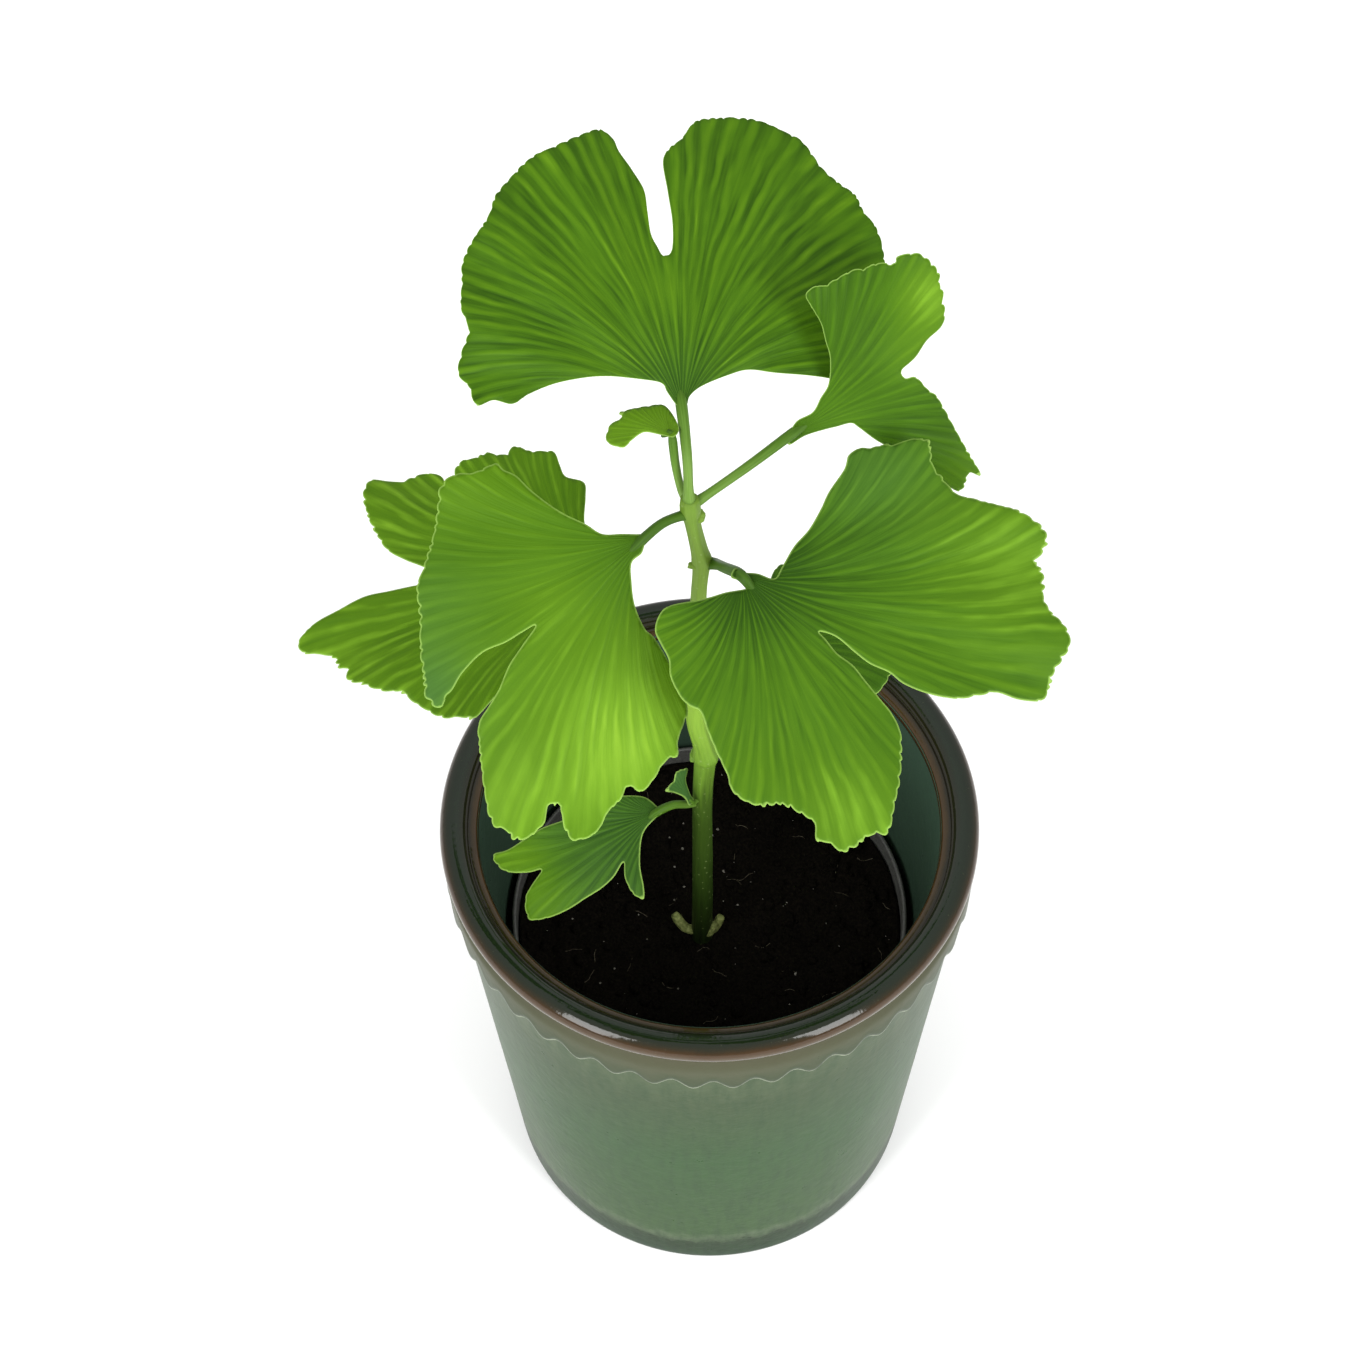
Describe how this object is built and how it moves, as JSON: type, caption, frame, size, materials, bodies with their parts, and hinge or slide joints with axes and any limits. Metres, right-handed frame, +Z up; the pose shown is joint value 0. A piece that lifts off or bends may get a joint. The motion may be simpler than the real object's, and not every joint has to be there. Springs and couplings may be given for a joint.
{
  "type": "ginkgo bonsai",
  "caption": "Young ginkgo with fan-shaped leaves in a plastic nursery pot, standing inside a glazed ceramic cover pot with a rolled lip and scalloped band.",
  "frame": {"origin": "centre of the cover pot's flat base", "axes": "+Z up along the pot's axis, -Y towards the front from which the plant is best seen, +X to the right"},
  "size_m": [0.1721, 0.1518, 0.3304],
  "materials": {
    "glaze": "glossy celadon-green reactive glaze that turns bottle green on the lip and breaks brown along its edge",
    "nursery_plastic": "thin black moulded plastic with a dull sheen",
    "soil": "moist, nearly black peat soil with pale specks and fibres",
    "stem": "soft green shoot, darker at its foot and pale near its top",
    "leaf": "satin green leaf with fine fanning veins, light and dark streaks and a pale margin"
  },
  "bodies": {
    "root": {"cover_pot": "glaze", "nursery_pot": "nursery_plastic", "soil": "soil", "stem": "stem", "leaf_top": "leaf", "leaf_upper_right": "leaf", "leaf_curled": "leaf", "leaf_left_front": "leaf", "leaf_right_front": "leaf", "leaf_back_left": "leaf", "leaf_low_left": "leaf", "leaf_low_bud": "leaf", "leaf_back_right": "leaf"}
  },
  "joints": []
}
